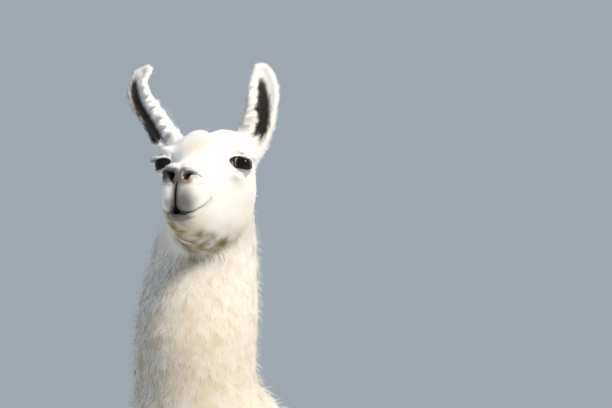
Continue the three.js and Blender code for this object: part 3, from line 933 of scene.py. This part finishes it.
def grow(name, faces, where, length, width, lift, rings=2, wander=0.15, gather=None, crimp=0.0, stray=0.0,
         laid=False, soften=0.6, way=lie, seed=1):
    """Grows one piece of coat with so many triangles.

    Where and way have a row for each point of the skin; length, width and lift have one too, or are a number.
    Gather is how far the tips come together, and how far apart in metres they meet.
    """
    draw = np.random.default_rng(seed)
    count = faces // (2 * TUFT_SIDES * (rings - 1) + TUFT_SIDES + 1)
    weights = triangle_areas * where[corners].mean(1)
    area = weights.sum() / max(where.max(), 1e-9)
    weights = np.cumsum(weights)
    picks = (np.arange(count) + draw.random(count)) / count * weights[-1]
    chosen = np.minimum(np.searchsorted(weights, picks), len(corners) - 1)
    first = np.sqrt(draw.random(count))
    second = draw.random(count)
    shares = np.stack([1 - first, first * (1 - second), first * second], axis=1)

    def at_root(values):
        values = np.broadcast_to(values, (len(hide_points), *np.shape(values)[1:]))
        return (values[corners[chosen]] * shares.reshape(shares.shape + (1,) * (values.ndim - 1))).sum(1)

    root, normal = at_root(hide_points), unit(at_root(hide_normals))
    onward = at_root(way)
    place = (corner_places[chosen] * shares[:, :, None]).sum(1)
    long = at_root(length) * draw.uniform(0.75, 1.2, count)
    wide = at_root(width) * draw.uniform(0.75, 1.25, count)
    raised = at_root(lift) * draw.uniform(0.6, 1.4, count)
    tone = draw.random(count)
    strays = draw.random(count) < stray
    raised[strays] += draw.uniform(0.25, 0.9, strays.sum())
    wide[strays] *= 0.5
    sideways = np.cross(normal, onward)
    swerve = draw.normal(0, wander, count)[:, None]
    onward = flattened(onward, normal) * np.cos(swerve) + sideways * np.sin(swerve)
    tip = root + onward * (long * np.cos(raised))[:, None]
    high = np.minimum(long * np.sin(raised), HIGHEST)
    surface, outward = tip.copy(), normal.copy()
    if laid:
        for k in range(count):
            surface[k], outward[k], _, _ = hide_tree.find_nearest(Vector(tip[k]))
    tip = surface + outward * high[:, None]
    phase = draw.uniform(0, 2 * pi, count)
    if gather:
        together, apart = gather
        heads = draw.choice(count, max(int(area / apart**2), 1), replace=False)
        tree = KDTree(len(heads))
        for k, row in enumerate(heads):
            tree.insert(Vector(root[row]), k)
        tree.balance()
        own = heads[[tree.find(Vector(v))[1] for v in root]]
        tip += (tip[own] - tip) * np.where(strays, 0.1, together)[:, None]
        tone = tone * 0.35 + draw.random(count)[own] * 0.65
        phase = phase * 0.15 + phase[own]
    chord = tip - root
    bow = root + chord * 0.5 + normal * (0.10 * long + 0.35 * high)[:, None]
    ring_share = np.linspace(0, 1, rings + 1)
    fullness = np.interp(ring_share, *FULLNESS)
    across = unit(np.cross(normal, chord))
    above = unit(np.cross(chord, across))
    roll = draw.normal(0, 0.25, count)[:, None]
    across, above = across * np.cos(roll) + above * np.sin(roll), above * np.cos(roll) - across * np.sin(roll)
    points, shading, places = [], [], []
    for share, full in zip(ring_share, fullness):
        centre = root * (1 - share) ** 2 + 2 * bow * share * (1 - share) + tip * share**2
        wave = crimp * long * np.sin(phase + share * 2 * CRIMP_WAVES * pi) * share
        centre = centre - normal * (SUNK * (1 - share)) + across * wave[:, None]
        for side in range(TUFT_SIDES if share < 1 else 1):
            angle = pi / 2 + side * 2 * pi / TUFT_SIDES
            ray = across * cos(angle) + above * THICKNESS * sin(angle)
            points.append(centre + ray * (wide * full / 2)[:, None])
            shading.append(unit(ray) * (1 - soften) + normal * soften)
            spot = np.array([cos(angle), sin(angle)]) * PATCH / 4 + (0, PATCH * (share - 0.5))
            places.append(place + (spot if share < 1 else (0, PATCH * 0.5)))
    each = len(points)
    points, shading, places = (np.stack(rows, axis=1) for rows in (points, shading, places))
    top = TUFT_SIDES * (rings - 1)
    point = [(top + k, top + (k + 1) % TUFT_SIDES, each - 1) for k in range(TUFT_SIDES)]
    pattern = [*ring_faces(rings, TUFT_SIDES), *point, (0, 2, 1)]
    sizes = np.array([len(f) for f in pattern])
    flat = np.concatenate([np.array(f) for f in pattern])
    vertex_of_loop = (np.arange(count)[:, None] * each + flat).ravel()
    mesh = bpy.data.meshes.new(name)
    mesh.vertices.add(count * each)
    write(mesh.vertices, "co", points)
    mesh.loops.add(len(vertex_of_loop))
    write(mesh.loops, "vertex_index", vertex_of_loop, np.int32)
    mesh.polygons.add(count * len(pattern))
    starts = np.concatenate([[0], np.cumsum(np.tile(sizes, count))[:-1]])
    write(mesh.polygons, "loop_start", starts, np.int32)
    mesh.update(calc_edges=True)
    mesh.uv_layers.new(name="OFBake")
    places = places.reshape(-1, 2)
    low, high = places.min(0), places.max(0)
    places = MARGIN + (1 - 2 * MARGIN) * (places - low) / (high - low)
    write(mesh.uv_layers["OFBake"].uv, "vector", places[vertex_of_loop])
    write_mark(mesh, "tone", np.repeat(tone, each))
    write_mark(mesh, "along", np.tile(np.repeat(ring_share, [TUFT_SIDES] * rings + [1]), count))
    for mark in ("grey", "dark", "pink", "tan", "stain_and_shade"):
        share = at_root(marks[mark])
        # A hair is dark or white as a whole, so that a dark patch ends in streaks.
        share = ramp(0.65 * tone, 0.65 * tone + 0.35, share) if mark == "dark" else share
        write_mark(mesh, mark, np.repeat(share, each))
    mesh.shade_smooth()
    mesh.normals_split_custom_set_from_vertices(unit(shading.reshape(-1, 3)))
    piece = placed(name, mesh)
    mesh.materials.append(wool)
    # Light passes through the fleece, so a tuft casts no hard shadow on the next.
    piece.visible_shadow = False
    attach(piece, "root")


def llama_wool():
    """Fine dry fibre in locks: matt, paler at the tip, and darker and warmer towards the root as painted
    shade.
    """
    material, tree, shader = new_material("llama_wool")
    colour = coat_colours(tree, carried(tree, mark_of(tree, "tone"), 0.45, 0.95, 0, 0.9))
    # Painted shade: each tuft darkens towards its root, since the coat casts no shadows of its own.
    rooted = carried(tree, mark_of(tree, "along"), 0, 0.6, 0.5, 0)
    light = mixed(tree, product(tree, rooted, mark_of(tree, "tan")), "#FFFFFF", "#F2E6D0")
    settings = {"data_type": "RGBA", "blend_type": "MULTIPLY", 0: 1.0}
    shaded = add_node(tree, "Mix", settings, {6: colour, 7: light})
    tree.links.new(shaded.outputs[2], shader.inputs["Base Color"])
    shader.inputs["Roughness"].default_value = 0.75
    shader.inputs["Specular IOR Level"].default_value = 0.2
    return material


wool = llama_wool()
# Lids, nostrils, lips and the bridge between the nostrils are bare.
bare = np.clip(ramp(3.0, 0.5, lid_gaps) + ramp(3.5, 1.5, nostril_gap) + ramp(1.0, 0.0, mouth_gap)
               + ramp(1.0, 0.0, cleft_gap) + ramp(12, 8, bridge) + marks["floor"], 0, 1)

# ---- Coat of the head ----
# Short straight hair lies flat over the face, back from the nose, shortest on the lips and longest between
# the ears, on the brow and under the jaw.

face_length = (2.2 + 2.8 * ramp(265, 190, forward) + 3 * ramp(120, 40, forward)) * MM
at_crown = ramp(105, 140, height) * ramp(95, 40, forward)
face_length += 9 * MM * at_crown
face_length += 7 * MM * ramp(-10, -40, height) * ramp(150, 70, forward)
face_width = (0.6 + 0.35 * ramp(200, 60, forward)) * MM
face_lift = 0.09 + 0.09 * ramp(120, 40, forward) + 0.2 * at_crown
haired = share_of(HEAD_PARTS, 12) * (1 - bare)
before_eyes = ramp(95, 105, forward)
grow("coat_face", 140_000, haired * before_eyes, face_length, face_width, face_lift, soften=0.85, seed=11)
grow("coat_cheeks", 115_000, haired * (1 - before_eyes), face_length, face_width, face_lift, stray=0.008,
     soften=0.85, seed=12)

# White lashes stand out and down from the edge of the upper lid.
lash_root = ramp(2.2, 1.2, lid_gaps) * ramp(0.1, 0.5, lid_gaps) * ramp(10, 16, up_eye)
lash_root *= ramp(-62, -50, round_eye) * ramp(52, 40, round_eye)
lash_way = np.column_stack([np.sign(hide_head[:, 0]), 0.45 + 0 * forward, -0.35 + 0 * forward])
grow("coat_lashes", 4_000, lash_root, 13 * MM, 0.6 * MM, 0.7, rings=3, wander=0.2, gather=(0.3, 0.004),
     way=unit(lash_way) @ HEAD_AXES.T, seed=13)

# ---- Coat of the ears ----
# Velvet outside, dark and thinly haired inside, with long white hairs combed outwards across the hollow from
# its inner edge and a short white fringe along the outer one.

ear_share = share_of(EAR_PARTS, 6)
in_hollow = ear_share * ramp(-0.1, 0.2, ear_inner)
inner_edge = in_hollow * ramp(-1.1, -0.9, ear_across) * ramp(-0.4, -0.7, ear_across)
outer_edge = in_hollow * ramp(0.6, 0.8, ear_across)
fringe_length = (11 + 11 * ramp(0.75, 0.3, ear_up)) * MM
grow("coat_ears", 60_000, ear_share, 6 * MM, 0.6 * MM, 0.16, soften=0.85, seed=21)
grow("coat_ear_fringes", 45_000, inner_edge, fringe_length, 0.55 * MM, 0.4, wander=0.4, gather=(0.45, 0.007),
     stray=0.1, soften=0.8, way=unit(ear_outward + 0.25 * ear_upward), seed=22)
grow("coat_ear_rims", 16_000, outer_edge, 11 * MM, 0.6 * MM, 0.4, wander=0.4, gather=(0.3, 0.006),
     soften=0.8, way=unit(ear_upward - 0.4 * ear_outward), seed=23)

# ---- Coat of the neck ----
# Long fine wool hangs down the neck in locks with pointed tips, and is longer and coarser over the shoulder.
# Loose hairs stand straight out of it all round, so that the neck's outline is a soft fringe.

neck_parts = ["neck_upper", "neck_lower"]
neck_share, near_neck = share_of(neck_parts), share_of(neck_parts, 400)
up_neck = ramp(1.05, 1.5, above_floor)
at_shoulder = (1 - near_neck) * ramp(1.35, 1.15, above_floor)
neck_length = (34 - 13 * up_neck + 40 * at_shoulder) * MM
neck_width = (1.7 - 0.3 * up_neck + 3 * at_shoulder) * MM
for number, (low, high) in enumerate(((1.00, 1.27), (1.27, 1.40), (1.40, 1.80)), 1):
    band = neck_share * ramp(low - 0.01, low + 0.01, above_floor)
    band *= ramp(high + 0.01, high - 0.01, above_floor)
    grow(f"coat_neck_{number}", 180_000, band, neck_length, neck_width, 0.22 + 0.06 * up_neck, wander=0.4,
         gather=(0.4, 0.012), stray=0.07, soften=0.92, seed=30 + number)
fuzzy = neck_share * ramp(1.0, 1.05, above_floor) * ramp(1.62, 1.5, above_floor)
grow("coat_neck_fuzz", 50_000, fuzzy, 24 * MM, 0.7 * MM, 0.7, wander=0.5, gather=(0.2, 0.012), soften=0.92,
     seed=38)

# ---- Coat of the body ----
# The fleece: heavy crimped locks, rooted in the skin of the trunk and parted along the spine, that lie back
# and down over barrel and rump. The tail is wrapped in the same locks.

body_share = share_of(["trunk"]) + neck_share * ramp(1.01, 0.99, above_floor)
fleece_length = (66 - 18 * ramp(0.75, 0.68, above_floor) - 36 * near_neck) * MM
fleece_width = (6.0 - 4.0 * near_neck) * MM
for number, (start, end) in enumerate(((0.04, 0.0), (0.0, 0.04)), 1):
    half = body_share * ramp(start, end, hide_points[:, 1])
    grow(f"coat_body_{number}", 145_000, half, fleece_length, fleece_width, 0.2, rings=4, wander=0.22,
         gather=(0.5, 0.035), crimp=0.05, stray=0.05, laid=True, soften=0.75, seed=40 + number)
grow("coat_tail", 40_000, share_of(["tail"], 15), 60 * MM, 5 * MM, 0.2, rings=4, gather=(0.5, 0.02),
     crimp=0.05, stray=0.06, laid=True, soften=0.75, seed=45)

# ---- Coat of the legs ----
# Woolly to the knee and hock, then short and close down to the feet. It grows from the skin of the leg and
# lies straight down.

leg_share = share_of([n for n in FLESH if n.startswith(("fore_", "hind_"))])
up_leg = ramp(0.30, 0.60, above_floor)
leg_length = (9 + 34 * up_leg) * MM
leg_width = (1.6 + 3.0 * up_leg) * MM
above_knee = leg_share * ramp(0.38, 0.42, above_floor)
below_knee = leg_share * ramp(0.42, 0.38, above_floor)
grow("coat_legs_upper", 95_000, above_knee, leg_length, leg_width, 0.2, rings=3, wander=0.2,
     gather=(0.4, 0.025), crimp=0.03, stray=0.05, laid=True, seed=51)
grow("coat_legs_lower", 90_000, below_knee, leg_length, leg_width, 0.2, wander=0.2, laid=True, seed=52)

# ---- Floor, light and camera ----
# A plain pale round floor, and soft lamps with the key above and to the right of the camera. The camera looks
# at the llama from the front and its left, level with the eyes.

FLOOR_RADIUS = 9.0
FLOOR_SIDES = 96
floor_mesh = bpy.data.meshes.new("floor")
rim = [(FLOOR_RADIUS * cos(turn), FLOOR_RADIUS * sin(turn), 0)
       for turn in np.linspace(0, 2 * pi, FLOOR_SIDES, endpoint=False)]
floor_mesh.from_pydata(rim, [], [range(FLOOR_SIDES)])
floor = placed("floor", floor_mesh)
paint, _, shader = new_material("matt_floor_paint")  # Matt pale paint, even and plain.
shader.inputs["Base Color"].default_value = linear("#C9C7C2")
shader.inputs["Roughness"].default_value = 0.9
floor_mesh.materials.append(paint)


def aim(thing, place, at):
    thing.location = place
    thing.rotation_euler = Vector(np.subtract(at, place)).to_track_quat("-Z", "Y").to_euler()


def lamp(name, place, size, watts, colour):
    """A square lamp aimed at the head."""
    light = bpy.data.lights.new(name, "AREA")
    light.size = size
    light.energy = watts
    light.color = linear(colour)[:3]
    holder = placed(name, light)
    aim(holder, place, HEAD_ORIGIN)
    holder.visible_glossy = name == "key"


lamp("key", (3.67, -0.76, 5.2), 1.4, 268, "#FFF8EE")
lamp("fill", (-2.6, -4.0, 1.8), 2.5, 24, "#DCE8FF")
lamp("rim", (-1.5, 3.5, 3.0), 2.0, 90, "#FFFFFF")
world = bpy.data.worlds.new("studio")
bpy.context.scene.world = world
world.use_nodes = True
sky = world.node_tree.nodes["Background"].inputs
sky["Color"].default_value = linear("#B9C3CC")
sky["Strength"].default_value = 0.72

CAMERA_ROUND = radians(30)
CAMERA_AWAY = 5.0
FRAME_WIDTH = 1.02  # that the camera sees at the head
SENSOR = 36.0
looks_at = HEAD_ORIGIN + (0.1246, 0.0743, 0.038)
away = np.array([sin(CAMERA_ROUND), -cos(CAMERA_ROUND), 0]) * CAMERA_AWAY
lens = bpy.data.cameras.new("camera")
lens.sensor_width = SENSOR
lens.lens = SENSOR * CAMERA_AWAY / FRAME_WIDTH
camera = placed("camera", lens)
aim(camera, looks_at + away, looks_at)
bpy.context.scene.camera = camera
bpy.context.scene.view_settings.view_transform = "Standard"
